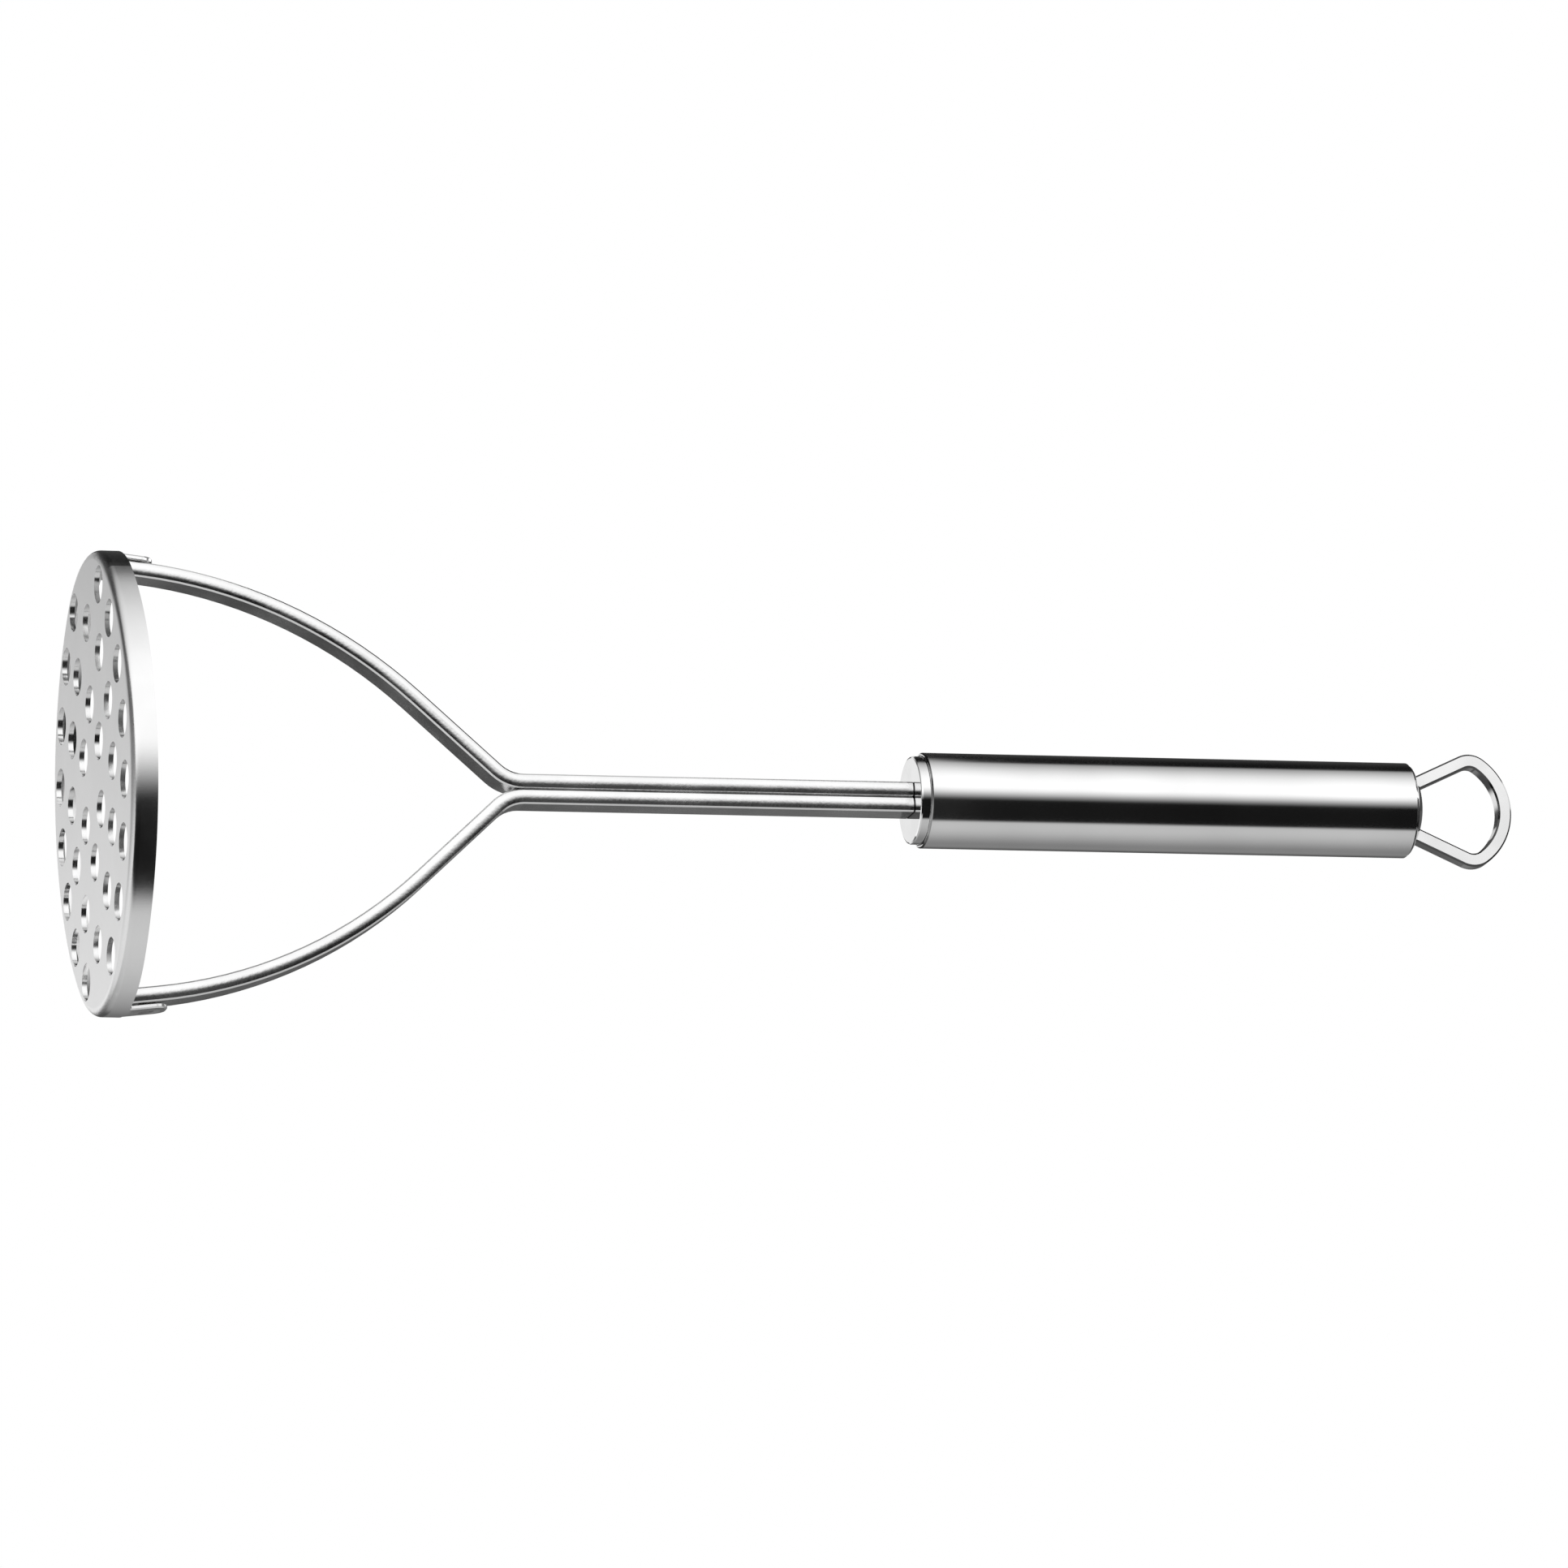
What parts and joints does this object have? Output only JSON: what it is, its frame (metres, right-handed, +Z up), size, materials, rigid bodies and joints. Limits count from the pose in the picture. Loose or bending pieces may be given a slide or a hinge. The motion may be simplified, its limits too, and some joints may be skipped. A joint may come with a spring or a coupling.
{
  "type": "potato masher",
  "caption": "Stainless steel potato masher: an oval perforated mashing plate on two arched strips, a round tubular handle and a hanging loop.",
  "frame": {"origin": "centre of the mashing plate's lower face, on the handle's axis", "axes": "+Z up along the handle, from the mashing face to the hanging loop; X along the plate's long axis, in which the two arms spread; Y along the plate's short axis, across the strips' width"},
  "size_m": [0.0924, 0.0704, 0.29],
  "materials": {
    "plate_steel": "satin stainless steel sheet",
    "strip_steel": "satin stainless steel",
    "tube_steel": "polished stainless steel",
    "cap_steel": "polished stainless steel",
    "rear_cap_steel": "polished stainless steel",
    "loop_steel": "satin stainless steel",
    "weld_steel": "bare weld metal"
  },
  "bodies": {
    "root": {"mashing_plate": "plate_steel", "right_arm": "strip_steel", "left_arm": "strip_steel", "spot_welds": "weld_steel", "handle_tube": "tube_steel", "front_cap": "cap_steel", "arm_weld": "weld_steel", "rear_cap": "rear_cap_steel", "hanging_loop": "loop_steel", "loop_welds": "weld_steel"}
  },
  "joints": []
}
